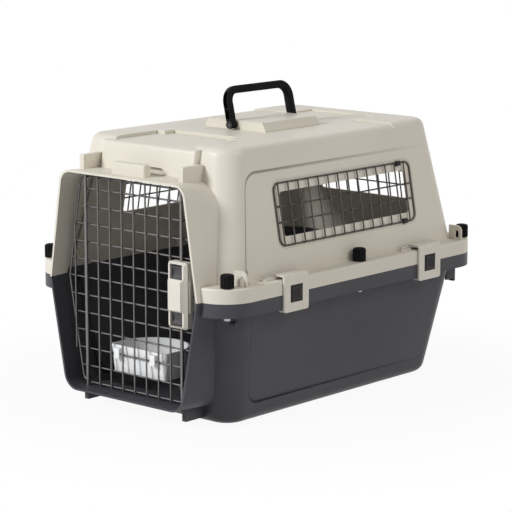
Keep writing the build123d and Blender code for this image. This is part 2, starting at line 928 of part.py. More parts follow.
def latch_housing():
    bottom, top = latch_ends()
    half = latch_width / 2
    front = door_y - latch_depth
    body = box_between((latch_x - half, front, bottom), (latch_x + half, door_y, top))
    body = fillet(body.edges().filter_by(Axis.Y), latch_corner)
    body = chamfer(body.faces().sort_by(Axis.Y)[0].edges(), latch_edge)
    body += latch_cover()
    room = button_width / 2 + button_play
    depth = latch_depth - button_setback + button_play
    body -= box_between(
        (latch_x - room, door_y - depth, bottom + latch_wall),
        (latch_x + room, door_y + overlap, top - latch_wall),
    )
    windows = [
        (bottom + latch_wall, latch_middle - cover_height / 2),
        (latch_middle + cover_height / 2, top - latch_wall),
    ]
    for low, high in windows:
        body -= box_between(
            (latch_x - room, front - overlap, low), (latch_x + room, door_y, high)
        )
    body -= rod_slot(latch_x, latch_y, bottom - overlap, top + overlap, rod_clearance)
    for x, z in screw_places():
        bore_end = door_y - screw_reach - press_fit
        body -= cylinder_along_y(x, z, bore_end, door_y + overlap, screw / 2 + press_fit)
    return body


def screw_places():
    x = (latch_width / 2 + button_width / 2) / 2
    z = wire_pitch_z / 2
    row = row_height(screw_row)
    return [(latch_x + side * x, row + step * z) for side in (-1, 1) for step in (-1, 1)]


def latch_back_plate():
    front = door_y + wire
    back = front + back_plate_thickness
    half = latch_width / 2
    plate = box_between(
        (latch_x - half, front, latch_middle - back_plate_half_height),
        (latch_x + half, back, latch_middle + back_plate_half_height),
    )
    plate = fillet(plate.edges().filter_by(Axis.Y), latch_corner)
    for x, z in screw_places():
        plate -= cylinder_along_y(x, z, front - overlap, back + overlap, screw / 2 + press_fit)
    return plate


def latch_screws():
    back = door_y + wire + back_plate_thickness
    screws = []
    for x, z in screw_places():
        shank = cylinder_along_y(x, z, door_y - screw_reach, back, screw / 2)
        head = cylinder_along_y(x, z, back, back + screw_head, screw)
        screws.append(shank + head)
    return Compound(screws)


def latch_button(upwards):
    """A sliding button with a thumb hollow; the upper one hangs below its rod."""
    bottom, top = latch_ends()
    end = top - latch_wall - button_play - lock_throw
    half = button_width / 2
    front = door_y - latch_depth + button_setback
    back = door_y - button_play
    body = box_between(
        (latch_x - half, front, end - button_height), (latch_x + half, back, end)
    )
    body = fillet(body.edges().filter_by(Axis.Z).group_by(Axis.Y)[0], button_edge)
    window_middle = (latch_middle + cover_height / 2 + end) / 2
    body -= cylinder_along_x(
        front + thumb_depth - thumb_radius,
        window_middle,
        latch_x - half + thumb_margin,
        latch_x + half - thumb_margin,
        thumb_radius,
    )
    body -= rod_slot(latch_x, latch_y, end - rod_grip, end + overlap, press_fit)
    return body if upwards else mirror(body, about=Plane.XY.offset(latch_middle))


def latch_rod_upper():
    end = latch_ends()[1] - latch_wall - button_play - lock_throw
    return cylinder_up(latch_x, latch_y, end - rod_grip, rod_top, rod / 2)


def latch_rod_lower():
    end = latch_ends()[0] + latch_wall + button_play + lock_throw
    return cylinder_up(latch_x, latch_y, rod_bottom, end + rod_grip, rod / 2)


# ---- carrying handle ----
def handle_channels(outline, plane):
    """Hollows that follow the outside of the legs round towards the grip."""
    band = outline - offset(outline, -leg_thickness / 2)
    depth = handle_width / 2 - channel_wall
    ring = extrude(plane * band, depth, both=True)
    inside = handle_length / 2 - handle_corner
    return Compound([
        ring & box_between(
            (-depth, handle_middle + min(start, end), pivot_height + low),
            (depth, handle_middle + max(start, end), pivot_height + high),
        )
        for low, high in channel_spans
        for start, end in ((inside, handle_length), (-inside, -handle_length))
    ])


def carry_handle():
    """A bail with channelled legs, built upright over its pivot and then leant over."""
    half = handle_length / 2
    outer = Pos(0, handle_rise / 2) * Rectangle(handle_length, handle_rise)
    outer = fillet(outer.vertices().group_by(Axis.Y)[-1], handle_corner)
    gap_height = handle_rise - handle_width
    inner = Pos(0, gap_height / 2) * Rectangle(handle_length - 2 * leg_thickness, gap_height)
    inner = fillet(inner.vertices().group_by(Axis.Y)[-1], handle_corner - leg_thickness)
    plane = Plane(
        origin=(0, handle_middle, pivot_height), x_dir=(0, 1, 0), z_dir=(1, 0, 0)
    )
    bail = extrude(plane * (outer - inner), handle_width / 2, both=True)
    long_edges = bail.edges().filter_by(lambda e: e.center().Z > pivot_height + overlap)
    bail = fillet(long_edges.filter_by(lambda e: abs(e.center().X) > 1), handle_edge)
    bail -= handle_channels(outer, plane)
    radius = pivot_pin / 2 + running_fit
    for low in (handle_middle - half, handle_middle + half - leg_thickness):
        high = low + leg_thickness
        bail += cylinder_along_y(0, pivot_height, low, high, hub_radius)
        bail -= cylinder_along_y(0, pivot_height, low - overlap, high + overlap, radius)
    pivot = Axis((0, handle_middle, pivot_height), (0, 1, 0))
    return bail.rotate(pivot, -handle_lean)


def handle_pivot_pins():
    pins = []
    for side in (-1, 1):
        outside = handle_middle + side * (handle_length / 2 - pivot_pin_recess)
        inside = handle_middle + side * (platform_length / 2 - pivot_bore_depth + overlap)
        low, high = sorted((outside, inside))
        pins.append(cylinder_along_y(0, pivot_height, low, high, pivot_pin / 2))
    return Compound(pins)


# ---- window grilles ----
def grille_frame(plane, length_over_wire):
    radius = grille_frame_wire / 2
    lift = radius - window_seat
    path = RectangleRounded(
        length_over_wire - 2 * radius, window_height - 2 * radius, window_corner - radius
    )
    raised = Plane(
        origin=plane.origin + plane.z_dir * lift, x_dir=plane.x_dir, z_dir=plane.z_dir
    )
    return bent_wire(raised * path, radius)


def grille_uprights(plane, length_over_wire, first):
    lift = grille_frame_wire - window_seat + grille_wire / 2
    count = int((length_over_wire - first) / grille_pitch) + 1
    wires = []
    for step in range(count):
        x = first - length_over_wire / 2 + step * grille_pitch
        upright = Rot(90, 0, 0) * Cylinder(grille_wire / 2, window_height - 2 * upright_setback)
        wires.append(plane * Pos(x, 0, lift) * upright)
    return Compound(wires)


def grille_cross_wires(plane, length_over_wire):
    lift = grille_frame_wire - window_seat - grille_wire / 2
    y = window_height / 2 - grille_cross_inset
    reach = length_over_wire - 2 * (grille_frame_wire + cross_gap)
    cross = Rot(0, 90, 0) * Cylinder(grille_wire / 2, reach)
    return Compound([plane * Pos(0, side * y, lift) * cross for side in (-1, 1)])


def window_clip(plane, x, side):
    """A small saddle over the frame wire of a window."""
    radius = grille_frame_wire / 2
    wire_middle = window_height / 2 - radius
    bore = radius + press_fit
    block = Pos(x, side * (wire_middle - saddle_inset), (saddle_height - window_seat) / 2)
    saddle = block * Box(saddle_length, saddle_width, saddle_height + window_seat)
    groove = Rot(0, 90, 0) * Cylinder(bore, 2 * saddle_length)
    foot = Box(2 * saddle_length, 2 * bore, 2 * radius)
    at_wire = Pos(x, side * wire_middle, -window_seat)
    return plane * (saddle - at_wire * Pos(0, 0, radius) * groove - at_wire * foot)


def window_clips():
    side = side_window_plane()
    rear = rear_window_plane()
    right = [window_clip(side, side_clip_x, end) for end in (-1, 1)]
    left = [mirrored(clip) for clip in right]
    back = [window_clip(rear, rear_clip_x, end) for end in (-1, 1)]
    return Compound(right + left + back)


def grilles():
    side = side_window_plane()
    rear = rear_window_plane()
    frame = grille_frame(side, side_window_length)
    uprights = grille_uprights(side, side_window_length, side_grille_first)
    cross = grille_cross_wires(side, side_window_length)
    rear_first = (rear_window_length % grille_pitch + grille_pitch) / 2
    return {
        "right_window_frame_wire": frame,
        "right_window_uprights": uprights,
        "right_window_cross_wires": cross,
        "left_window_frame_wire": mirrored(frame),
        "left_window_uprights": mirrored(uprights),
        "left_window_cross_wires": mirrored(cross),
        "rear_window_frame_wire": grille_frame(rear, rear_window_length),
        "rear_window_uprights": grille_uprights(rear, rear_window_length, rear_first),
        "rear_window_cross_wires": grille_cross_wires(rear, rear_window_length),
    }


# ---- side clips ----
def side_clip(middle):
    """A pale C-shaped catch hinged on the ledge and hooked under the tub's skirt."""
    start = middle - clip_length / 2
    end = middle + clip_length / 2
    inner = rim_width / 2 + clip_gap
    outer = inner + clip_thickness
    hook_top = rim_bottom - clip_hook_gap
    hook_bottom = hook_top - clip_thickness
    plate = box_between((inner - clip_hook_reach, start, hook_bottom), (outer, end, clip_top))
    corners = plate.edges().filter_by(Axis.Y).group_by(Axis.X)[-1]
    plate = fillet(corners.sort_by(Axis.Z)[-1], clip_top_corner)
    corners = plate.edges().filter_by(Axis.X).group_by(Axis.Z)[0]
    plate = fillet(corners, clip_foot_corner)
    arm = box_between(
        (clip_axis_x, start, clip_top - clip_thickness),
        (outer - clip_top_corner, end, clip_top),
    )
    room = box_between(
        (inner - clip_hook_reach - overlap, start - overlap, hook_top),
        (inner, end + overlap, clip_top - clip_thickness),
    )
    clip = plate - room + arm
    clip += cylinder_along_y(clip_axis_x, clip_axis_z, start, end, clip_barrel / 2)
    bore = clip_pin / 2 + running_fit
    clip -= cylinder_along_y(clip_axis_x, clip_axis_z, start - overlap, end + overlap, bore)
    return clip - insert_block(middle, insert_play, clip_thickness)


def insert_block(middle, play, proud):
    """The dark plate let into the face of a side clip, or the pocket it sits in."""
    outer = rim_width / 2 + clip_gap + clip_thickness
    half = insert_width / 2 + play
    half_height = insert_height / 2 + play
    return box_between(
        (outer - insert_thickness, middle - half, seam_height - half_height),
        (outer + proud, middle + half, seam_height + half_height),
    )


def clip_insert(middle):
    plate = insert_block(middle, 0, insert_proud)
    return chamfer(plate.faces().sort_by(Axis.X)[-1].edges(), insert_edge)


def clip_pins():
    pins = []
    inset = clip_pin_end + clip_pin_play
    for middle in (clip_middle_front, clip_middle_rear):
        low = middle - clip_length / 2 - knuckle_gap - front_knuckle + inset
        high = middle + clip_length / 2 + knuckle_gap + rear_knuckle - inset
        pins.append(cylinder_along_y(clip_axis_x, clip_axis_z, low, high, clip_pin / 2))
    return Compound(pins + [mirrored(pin) for pin in pins])


def side_clips():
    nodes = {}
    for place, middle in (("front", clip_middle_front), ("rear", clip_middle_rear)):
        clip = side_clip(middle)
        insert = clip_insert(middle)
        nodes[f"side_clip_{place}_right"] = clip
        nodes[f"side_clip_{place}_left"] = mirrored(clip)
        nodes[f"clip_insert_{place}_right"] = insert
        nodes[f"clip_insert_{place}_left"] = mirrored(insert)
    return nodes


# ---- knobs and bolts ----
def knob():
    """A fluted hand knob with a blind bore, standing on the origin."""
    body = Pos(0, 0, knob_height / 2) * Cylinder(knob_radius, knob_height)
    body = fillet(body.faces().sort_by(Axis.Z)[-1].edges(), knob_edge)
    for turn in PolarLocations(knob_radius + flute_radius / 3, knob_flutes):
        body -= turn * Pos(0, 0, knob_height / 2) * Cylinder(flute_radius, 2 * knob_height)
    return body - cylinder_up(0, 0, -overlap, knob_height - knob_cap, bolt / 2 + running_fit)


def knobs():
    pattern = knob()
    return {
        f"knob_{place}": Pos(x, y, rim_top + knob_lift) * pattern
        for place, (x, y) in knob_places().items()
    }


def clamp_bolts():
    bolts = []
    end = rim_top + knob_lift + knob_height - knob_cap - bolt_end_gap
    for x, y in knob_places().values():
        head = Pos(x, y, rim_bottom - bolt_head_height) * RegularPolygon(bolt_head_width / 2, 6)
        shank = cylinder_up(x, y, rim_bottom, end, bolt / 2)
        bolts.append(extrude(head, bolt_head_height) + shank)
    return Compound(bolts)


# ---- food bowl ----
def bowl_section(height, inset):
    """A half-round outline with its flat side towards the door."""
    half = bowl_half_width - inset
    front = door_y + wire + bowl_gap + inset
    turn = door_y + wire + bowl_gap + bowl_straight
    edges = [
        Line((-half, turn), (-half, front)),
        Line((-half, front), (half, front)),
        Line((half, front), (half, turn)),
        ThreePointArc((half, turn), (0, turn + half), (-half, turn)),
    ]
    face = make_face(edges)
    corners = face.vertices().group_by(Axis.Y)[0]
    return Pos(0, 0, height) * fillet(corners, bowl_corner - inset)


def bowl_hook(middle, hook_height, top):
    """A hook over one cross wire, standing off the flat front of the bowl."""
    front = door_y - hook_play
    inner = door_y + wire + bowl_gap
    hook = box_between(
        (middle - hook_width / 2, front - hook_thickness, hook_height - hook_drop),
        (middle + hook_width / 2, inner + bowl_wall / 2, top - hook_brim_gap),
    )
    hook = fillet(hook.faces().sort_by(Axis.Y)[0].edges(), hook_edge)
    room = box_between(
        (middle - hook_width, front, hook_height - hook_drop - overlap),
        (middle + hook_width, inner + bowl_wall, hook_height),
    )
    return hook - room


def food_bowl():
    hook_height = row_height(bowl_row) + wire / 2 + hook_play
    top = hook_height + bowl_rise
    bottom = top - bowl_height
    outside = loft([bowl_section(bottom, bowl_taper), bowl_section(top, 0)], ruled=True)
    outside = fillet(outside.faces().sort_by(Axis.Z)[0].edges(), bowl_edge)
    inside = loft(
        [
            bowl_section(bottom + bowl_wall, bowl_taper + bowl_wall),
            bowl_section(top + press_fit, bowl_wall),
        ],
        ruled=True,
    )
    bowl = outside - inside
    for side in (-1, 1):
        bowl += bowl_hook(side * hook_spacing / 2, hook_height, top)
    return bowl


def main():
    os.makedirs("parts", exist_ok=True)
    nodes = {
        "lower_tub": lower_tub(),
        "upper_shell": upper_shell(),
        "door_frame_wire": door_frame_wire(),
        "door_vertical_wires": door_vertical_wires(),
        "door_horizontal_wires": door_horizontal_wires(),
        "hinge_rod": hinge_rod(),
        "latch_rod_guides": latch_rod_guides(),
        "latch_housing": latch_housing(),
        "latch_back_plate": latch_back_plate(),
        "latch_screws": latch_screws(),
        "latch_button_upper": latch_button(True),
        "latch_button_lower": latch_button(False),
        "latch_rod_upper": latch_rod_upper(),
        "latch_rod_lower": latch_rod_lower(),
        "carry_handle": carry_handle(),
        "handle_pivot_pins": handle_pivot_pins(),
        **grilles(),
        "window_clips": window_clips(),
        **side_clips(),
        "clip_pins": clip_pins(),
        **knobs(),
        "clamp_bolts": clamp_bolts(),
        "food_bowl": food_bowl(),
    }
    for name, shape in nodes.items():
        export_step(shape, f"parts/{name}.step")


main()
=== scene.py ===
import json
import math
import bpy
from mathutils import Matrix, Vector


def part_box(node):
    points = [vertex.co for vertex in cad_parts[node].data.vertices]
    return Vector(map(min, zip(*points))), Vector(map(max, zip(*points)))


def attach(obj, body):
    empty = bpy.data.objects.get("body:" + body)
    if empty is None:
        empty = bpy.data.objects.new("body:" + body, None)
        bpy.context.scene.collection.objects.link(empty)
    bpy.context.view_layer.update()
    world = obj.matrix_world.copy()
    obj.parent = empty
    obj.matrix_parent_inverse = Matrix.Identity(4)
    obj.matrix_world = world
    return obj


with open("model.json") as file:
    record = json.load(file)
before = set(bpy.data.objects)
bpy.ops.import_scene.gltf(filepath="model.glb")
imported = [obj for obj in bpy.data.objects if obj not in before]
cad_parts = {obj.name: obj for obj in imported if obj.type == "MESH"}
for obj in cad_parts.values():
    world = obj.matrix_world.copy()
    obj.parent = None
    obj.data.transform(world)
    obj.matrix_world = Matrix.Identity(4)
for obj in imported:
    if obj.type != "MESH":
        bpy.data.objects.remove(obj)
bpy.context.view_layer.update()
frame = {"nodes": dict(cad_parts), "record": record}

nodes = frame["nodes"]
print("stage: frame loaded,", len(nodes), "nodes")


# a node's socket that can be added, multiplied and so on
class Shade:
    def __init__(self, tree, socket=None):
        self.tree = tree
        self.socket = socket

    def add(self, kind, settings=None, sockets=None, output=0):
        node = self.tree.nodes.new(kind)
        for key, value in (settings or {}).items():
            if key == "stops":
                self.setStops(node.color_ramp, value)
            else:
                setattr(node, key, value)
        for key, value in (sockets or {}).items():
            target = node.inputs[key]
            if isinstance(value, Shade):
                self.tree.links.new(value.socket, target)
            else:
                target.default_value = value
        return Shade(self.tree, node.outputs[output])

    def setStops(self, ramp, stops):
        while len(ramp.elements) < len(stops):
            ramp.elements.new(0.5)
        for element, (place, shade) in zip(ramp.elements, stops):
            element.position = place
            element.color = (shade, shade, shade, 1)

    def sum(self, operation, left, right=0.0):
        return self.add("ShaderNodeMath", {"operation": operation}, {0: left, 1: right})

    def __add__(self, other):
        return self.sum("ADD", self, other)

    def __radd__(self, other):
        return self.sum("ADD", other, self)

    def __sub__(self, other):
        return self.sum("SUBTRACT", self, other)

    def __rsub__(self, other):
        return self.sum("SUBTRACT", other, self)

    def __mul__(self, other):
        return self.sum("MULTIPLY", self, other)

    def __rmul__(self, other):
        return self.sum("MULTIPLY", other, self)

    def mix(self, low, high):
        # low where this mask is 0, high where it is 1
        return self.add(
            "ShaderNodeMix", {"data_type": "RGBA"}, {0: self, 6: low, 7: high}, output=2
        )


def newFinish(name):
    # a material, its Principled node, and the object's own coordinates
    material = bpy.data.materials.new(name)
    material.use_nodes = True
    tree = material.node_tree
    place = Shade(tree).add("ShaderNodeTexCoord", output="Object")
    return material, tree.nodes["Principled BSDF"], place


def feed(surface, name, shade):
    shade.tree.links.new(shade.socket, surface.inputs[name])


def hold(surface, values):
    # sockets that stay the same all over the piece
    for name, value in values.items():
        surface.inputs[name].default_value = value


def noise(place, scale, detail=2.0, roughness=0.5):
    return place.add(
        "ShaderNodeTexNoise", None,
        {"Vector": place, "Scale": scale, "Detail": detail, "Roughness": roughness},
    )


def ramp(shade, stops):
    return shade.add("ShaderNodeValToRGB", {"stops": stops}, {"Fac": shade})


def bump(height, strength, depth):
    return height.add(
        "ShaderNodeBump", None, {"Strength": strength, "Distance": depth, "Height": height}
    )


def along(place, axis):
    return place.add("ShaderNodeSeparateXYZ", None, {0: place}, output="XYZ".index(axis))


def fade(value, start, end):
    # 1 up to the start, 0 from the end on
    return value.add("ShaderNodeMapRange", None, {"Value": value, 1: start, 2: end, 3: 1.0, 4: 0.0})


# what all the moulded plastics share: a slow drift of tone and a fine leathery grain
plasticLook = {
    "driftDetail": 3.0,
    "driftStops": [(0.35, 0.0), (0.7, 1.0)],
    "cellShare": 0.6,
    "cellSmoothness": 0.6,
    "noiseToCells": 2.3,
    "grainStrength": 0.35,
}


def drift(place, scale):
    look = plasticLook
    return ramp(noise(place, scale, look["driftDetail"]), look["driftStops"])


def grain(place, surface, scale, depth):
    look = plasticLook
    cells = place.add(
        "ShaderNodeTexVoronoi", {"feature": "SMOOTH_F1"},
        {"Vector": place, "Scale": scale, "Smoothness": look["cellSmoothness"]},
    )
    specks = noise(place, scale * look["noiseToCells"])
    relief = look["cellShare"] * cells + (1.0 - look["cellShare"]) * specks
    feed(surface, "Normal", bump(relief, look["grainStrength"], depth))
    return relief


# a painted line of shade along the front and outer edges of a sunken side panel, where the panel's
# step would cast its shadow
panelShadeLook = {
    "corner": 0.022,    # the radius of the panel's corner
    "shift": 0.0016,    # how far inside the panel's outline the line runs
    "core": 0.0011,     # half the line's dark width, and where it has gone
    "soft": 0.0028,
    "inside": 0.120,    # the side walls lie between these distances from the middle
    "outside": 0.176,
    "back": 0.214,      # it has faded here
}


def paintedPanelShade(place, foot, head):
    # foot and head are the ends of the panel's front edge, along Y and Z
    look = panelShadeLook
    rise, lean = head[1] - foot[1], head[0] - foot[0]
    reach = math.hypot(rise, lean)
    way = math.copysign(1.0, rise)
    y, z = along(place, "Y"), along(place, "Z")
    # how far out of the panel, past its front edge and past its outer one
    front = (foot[0] - y) * (abs(rise) / reach) + (z - foot[1]) * (way * lean / reach)
    outer = way * (z - head[1])
    # the distance from its outline, which turns the corner in an arc
    front, outer = front + look["corner"], outer + look["corner"]
    past = [y.sum("MAXIMUM", side) for side in (front, outer)]
    arc = y.sum("SQRT", past[0] * past[0] + past[1] * past[1])
    short = y.sum("MINIMUM", y.sum("MAXIMUM", front, outer))
    gap = y.sum("ABSOLUTE", arc + short + (look["shift"] - look["corner"]))
    x = y.sum("ABSOLUTE", along(place, "X"))
    wall = y.sum("GREATER_THAN", x, look["inside"]) * y.sum("LESS_THAN", x, look["outside"])
    # 1 on the painted shade line, fading towards the back and kept to the side walls
    return fade(gap, look["core"], look["soft"]) * fade(y, foot[0], look["back"]) * wall


shellLook = {
    "tone": (0.690, 0.644, 0.560, 1),
    "paler": (0.735, 0.692, 0.607, 1),
    "driftScale": 7.0,
    # the dark tone of the painted shade along the sunken panel's edge
    "paintedShade": (0.170, 0.148, 0.118, 1),
    "paintedShadeShare": 0.85,
    "panelFoot": (-0.219, 0.204),
    "panelHead": (-0.193, 0.3486),
    "grainScale": 900.0,
    "grainDepth": 0.00006,
    "grainDulls": 0.10,
    "roughness": 0.40,
}


def shellFinish():
    look = shellLook
    material, surface, place = newFinish("shellPlastic")
    base = drift(place, look["driftScale"]).mix(look["tone"], look["paler"])
    # painted shade: the panel's edge darkened where its step would cast a shadow
    paintedShade = look["paintedShadeShare"] * paintedPanelShade(place, look["panelFoot"], look["panelHead"])
    feed(surface, "Base Color", paintedShade.mix(base, look["paintedShade"]))
    relief = grain(place, surface, look["grainScale"], look["grainDepth"])
    feed(surface, "Roughness", look["roughness"] + look["grainDulls"] * relief)
    return material


tubLook = {
    "tone": (0.062, 0.061, 0.071, 1),
    "paler": (0.074, 0.073, 0.084, 1),
    "driftScale": 9.0,
    # the dark tone of the painted shade along the tub's sunken panel edge
    "paintedShade": (0.012, 0.011, 0.013, 1),
    "paintedShadeShare": 0.7,
    "panelFoot": (-0.210, 0.1795),
    "panelHead": (-0.189, 0.026),
    "scuff": (0.115, 0.114, 0.122, 1),
    "scuffShare": 0.6,
    "scuffTop": 0.022,
    "scuffScale": 160.0,
    "scuffDetail": 4.0,
    "scuffRoughness": 0.7,
    "scuffStops": [(0.55, 0.0), (0.75, 1.0)],
    "scuffDulls": 0.15,
    "grainScale": 800.0,
    "grainDepth": 0.00007,
    "grainDulls": 0.12,
    "roughness": 0.36,
    "shine": 0.2,
}


def tubScuffs(place):
    # pale rubbing near the floor, where it is pushed along
    look = tubLook
    low = fade(along(place, "Z"), 0.0, look["scuffTop"])
    streaks = noise(place, look["scuffScale"], look["scuffDetail"], look["scuffRoughness"])
    return look["scuffShare"] * low * ramp(streaks, look["scuffStops"])


def tubFinish():
    look = tubLook
    material, surface, place = newFinish("tubPlastic")
    base = drift(place, look["driftScale"]).mix(look["tone"], look["paler"])
    # painted shade: the tub panel's edge darkened where its step would cast a shadow
    paintedShade = look["paintedShadeShare"] * paintedPanelShade(place, look["panelFoot"], look["panelHead"])
    rubbed = tubScuffs(place)
    feed(surface, "Base Color", rubbed.mix(paintedShade.mix(base, look["paintedShade"]), look["scuff"]))
    relief = grain(place, surface, look["grainScale"], look["grainDepth"])
    dulled = look["roughness"] + look["grainDulls"] * relief + look["scuffDulls"] * rubbed
    feed(surface, "Roughness", dulled)
    hold(surface, {"Specular IOR Level": look["shine"]})
    return material


# the small plastic pieces: one grain, and each its own tones
smallLook = {"driftScale": 30.0, "grainScale": 1100.0, "grainDepth": 0.00004, "grainDulls": 0.08}
smallTones = {
    "latch": {
        "tone": (0.69, 0.65, 0.57, 1), "paler": (0.73, 0.69, 0.615, 1),
        "roughness": 0.36, "coat": 0.0, "shine": 0.5,
    },
    "handle": {
        "tone": (0.011, 0.010, 0.011, 1), "paler": (0.016, 0.015, 0.016, 1),
        "roughness": 0.52, "coat": 0.0, "shine": 0.03,
    },
    # a paler grey than the handle's own dark plastic, a painted highlight standing in for the
    # collar's lit edges
    "collar": {
        "tone": (0.085, 0.080, 0.085, 1), "paler": (0.110, 0.105, 0.110, 1),
        "roughness": 0.40, "coat": 0.0, "shine": 0.4,
    },
    "button": {
        "tone": (0.052, 0.050, 0.054, 1), "paler": (0.064, 0.062, 0.066, 1),
        "roughness": 0.45, "coat": 0.0, "shine": 0.3,
    },
    "insert": {
        "tone": (0.020, 0.018, 0.020, 1), "paler": (0.028, 0.026, 0.028, 1),
        "roughness": 0.48, "coat": 0.0, "shine": 0.15,
    },
    "bezel": {
        "tone": (0.030, 0.028, 0.028, 1), "paler": (0.040, 0.037, 0.037, 1),
        "roughness": 0.44, "coat": 0.0, "shine": 0.2,
    },
    "bowl": {
        "tone": (0.83, 0.83, 0.84, 1), "paler": (0.87, 0.87, 0.88, 1),
        "roughness": 0.25, "coat": 0.4, "shine": 0.5,
    },
}


def smallPlastic(name, tones):
    look = smallLook
    material, surface, place = newFinish(name)
    base = drift(place, look["driftScale"]).mix(tones["tone"], tones["paler"])
    feed(surface, "Base Color", base)
    relief = grain(place, surface, look["grainScale"], look["grainDepth"])
    feed(surface, "Roughness", tones["roughness"] + look["grainDulls"] * relief)
    hold(surface, {"Coat Weight": tones["coat"], "Specular IOR Level": tones["shine"]})
    return material


# dull zinc over drawn wire: small dark spots and a little drift in brightness
steelLook = {
    "spotScale": 420.0,
    "spotDetail": 5.0,
    "spotRoughness": 0.65,
    "spotStops": [(0.42, 0.0), (0.68, 1.0)],
    "spotShare": 0.55,
    "spotDulls": 0.18,
    "driftScale": 45.0,
    "driftShare": 0.35,
    "drawScale": 900.0,
    "drawDepth": 0.00003,
    "drawStrength": 0.2,
}
steelTones = {
    "window": {
        "tone": (0.115, 0.103, 0.095, 1), "darker": (0.045, 0.040, 0.036, 1), "roughness": 0.42,
    },
    "grille": {
        "tone": (0.215, 0.207, 0.203, 1), "darker": (0.115, 0.109, 0.106, 1), "roughness": 0.38,
    },
    "rod": {
        "tone": (0.26, 0.252, 0.247, 1), "darker": (0.145, 0.14, 0.137, 1), "roughness": 0.36,
    },
    "bolt": {
        "tone": (0.52, 0.52, 0.51, 1), "darker": (0.34, 0.34, 0.33, 1), "roughness": 0.30,
    },
}


def platedSteel(name, tones):
    look = steelLook
    material, surface, place = newFinish(name)
    specks = noise(place, look["spotScale"], look["spotDetail"], look["spotRoughness"])
    spots = ramp(specks, look["spotStops"])
    mask = look["spotShare"] * spots + look["driftShare"] * noise(place, look["driftScale"])
    feed(surface, "Base Color", mask.mix(tones["tone"], tones["darker"]))
    feed(surface, "Roughness", tones["roughness"] + look["spotDulls"] * spots)
    hold(surface, {"Metallic": 1.0})
    drawn = noise(place, look["drawScale"])
    feed(surface, "Normal", bump(drawn, look["drawStrength"], look["drawDepth"]))
    return material


finishes = {"shell": shellFinish(), "tub": tubFinish()}
for name, tones in smallTones.items():
    finishes[name] = smallPlastic(name + "Plastic", tones)
for name, tones in steelTones.items():
    finishes[name] = platedSteel(name + "Steel", tones)
print("stage: finishes made")


finishOfSlot = {
    "tub_plastic": "tub", "shell_plastic": "shell", "grille_steel": "grille", "rod_steel": "rod",
    "handle_plastic": "handle", "latch_plastic": "latch", "button_plastic": "button",
    "insert_plastic": "insert", "bolt_steel": "bolt", "bowl_plastic": "bowl",
}
cadLook = {"weld": 0.000001, "edgeAngle": 28}


def dressCadNodes():
    # every CAD node gets its finish, and soft shading that stops at its real edges
    for part in frame["record"]["subparts"]:
        item = nodes[part["node"]]
        item.data.materials.clear()
        kind = "window" if "_window_" in part["node"] else finishOfSlot[part["material_slot"]]
        item.data.materials.append(finishes[kind])
        weld = item.modifiers.new("weld", "WELD")
        weld.merge_threshold = cadLook["weld"]
        split = item.modifiers.new("keepEdges", "EDGE_SPLIT")
        split.split_angle = math.radians(cadLook["edgeAngle"])
        item.data.polygons.foreach_set("use_smooth", [True] * len(item.data.polygons))


dressCadNodes()
print("stage: CAD nodes dressed")


# how the small added pieces are finished
trimLook = {"facing": 0.9, "bevelSegments": 2, "smoothAngle": 35}


def deselectAll():
    for item in bpy.context.selected_objects:
        item.select_set(False)


def startPiece(name):
    item = bpy.context.object
    item.name = name
    bpy.ops.object.transform_apply(location=True, rotation=True, scale=True)
    return item


def dishFace(item, way, look):
    # the face that looks this way gets a rim, and its middle is pushed in
    for part in (item.data.vertices, item.data.edges, item.data.polygons):
        part.foreach_set("select", [False] * len(part))
    for face in item.data.polygons:
        face.select = face.normal.dot(way) > trimLook["facing"]
    bpy.ops.object.mode_set(mode="EDIT")
    bpy.ops.mesh.select_mode(type="FACE")
    bpy.ops.mesh.inset(thickness=look["band"])
    bpy.ops.transform.translate(value=-look["sink"] * way)
    bpy.ops.object.mode_set(mode="OBJECT")


def finishPiece(item, body, finish, edge):
    bevel = item.modifiers.new("softEdges", "BEVEL")
    bevel.width = edge
    bevel.segments = trimLook["bevelSegments"]
    bevel.limit_method = "ANGLE"
    bpy.ops.object.modifier_apply(modifier=bevel.name)
    bpy.ops.object.shade_smooth_by_angle(angle=math.radians(trimLook["smoothAngle"]))
    item.data.materials.append(finishes[finish])
    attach(item, body)


def copyPiece(item, name, body, start, end, turn=0.0):
    # moved from the first piece's place to the copy's, and turned there about Z
    twin = item.copy()
    twin.data = item.data.copy()
    twin.data.name = name
    twin.name = name
    bpy.context.scene.collection.objects.link(twin)
    turned = Matrix.Translation(end) @ Matrix.Rotation(turn, 4, "Z")
    twin.data.transform(turned @ Matrix.Translation(-start))
    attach(twin, body)


# a raised frame with a sunken middle on each side clip's dark plate
bezelLook = {"margin": 0.0028, "proud": 0.0009, "band": 0.0030, "sink": 0.0011, "edge": 0.0003}
clipPlaces = ("front_right", "front_left", "rear_right", "rear_left")


def clipMiddle(place):
    # the middle of the plate's outer face
    low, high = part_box("clip_insert_" + place)
    face = high[0] if place.endswith("right") else low[0]
    return Vector((face, (low[1] + high[1]) / 2, (low[2] + high[2]) / 2))


def firstBezel(place):
    look = bezelLook
    low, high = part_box("clip_insert_" + place)
    width, height = high[1] - low[1], high[2] - low[2]
    deselectAll()
    bpy.ops.mesh.primitive_cube_add(
        size=1,
        location=clipMiddle(place),
        scale=(2 * look["proud"], width - 2 * look["margin"], height - 2 * look["margin"]),
    )
    item = startPiece("clipBezel_" + place)
    dishFace(item, Vector((1, 0, 0)), look)
    finishPiece(item, "clip_" + place, "bezel", look["edge"])
    return item


def clipBezels():
    first = clipPlaces[0]
    item = firstBezel(first)
    for place in clipPlaces[1:]:
        copyPiece(
            item, "clipBezel_" + place, "clip_" + place,
            clipMiddle(first), clipMiddle(place), 0.0 if place.endswith("right") else math.pi,
        )


clipBezels()
print("stage: clip bezels made")


# the collar round each end of the handle's pivot, with a hollow for the pin's end
hubLook = {
    "radius": 0.0052, "sides": 40, "proud": 0.0011, "band": 0.0013, "sink": 0.0013, "edge": 0.0002,
}


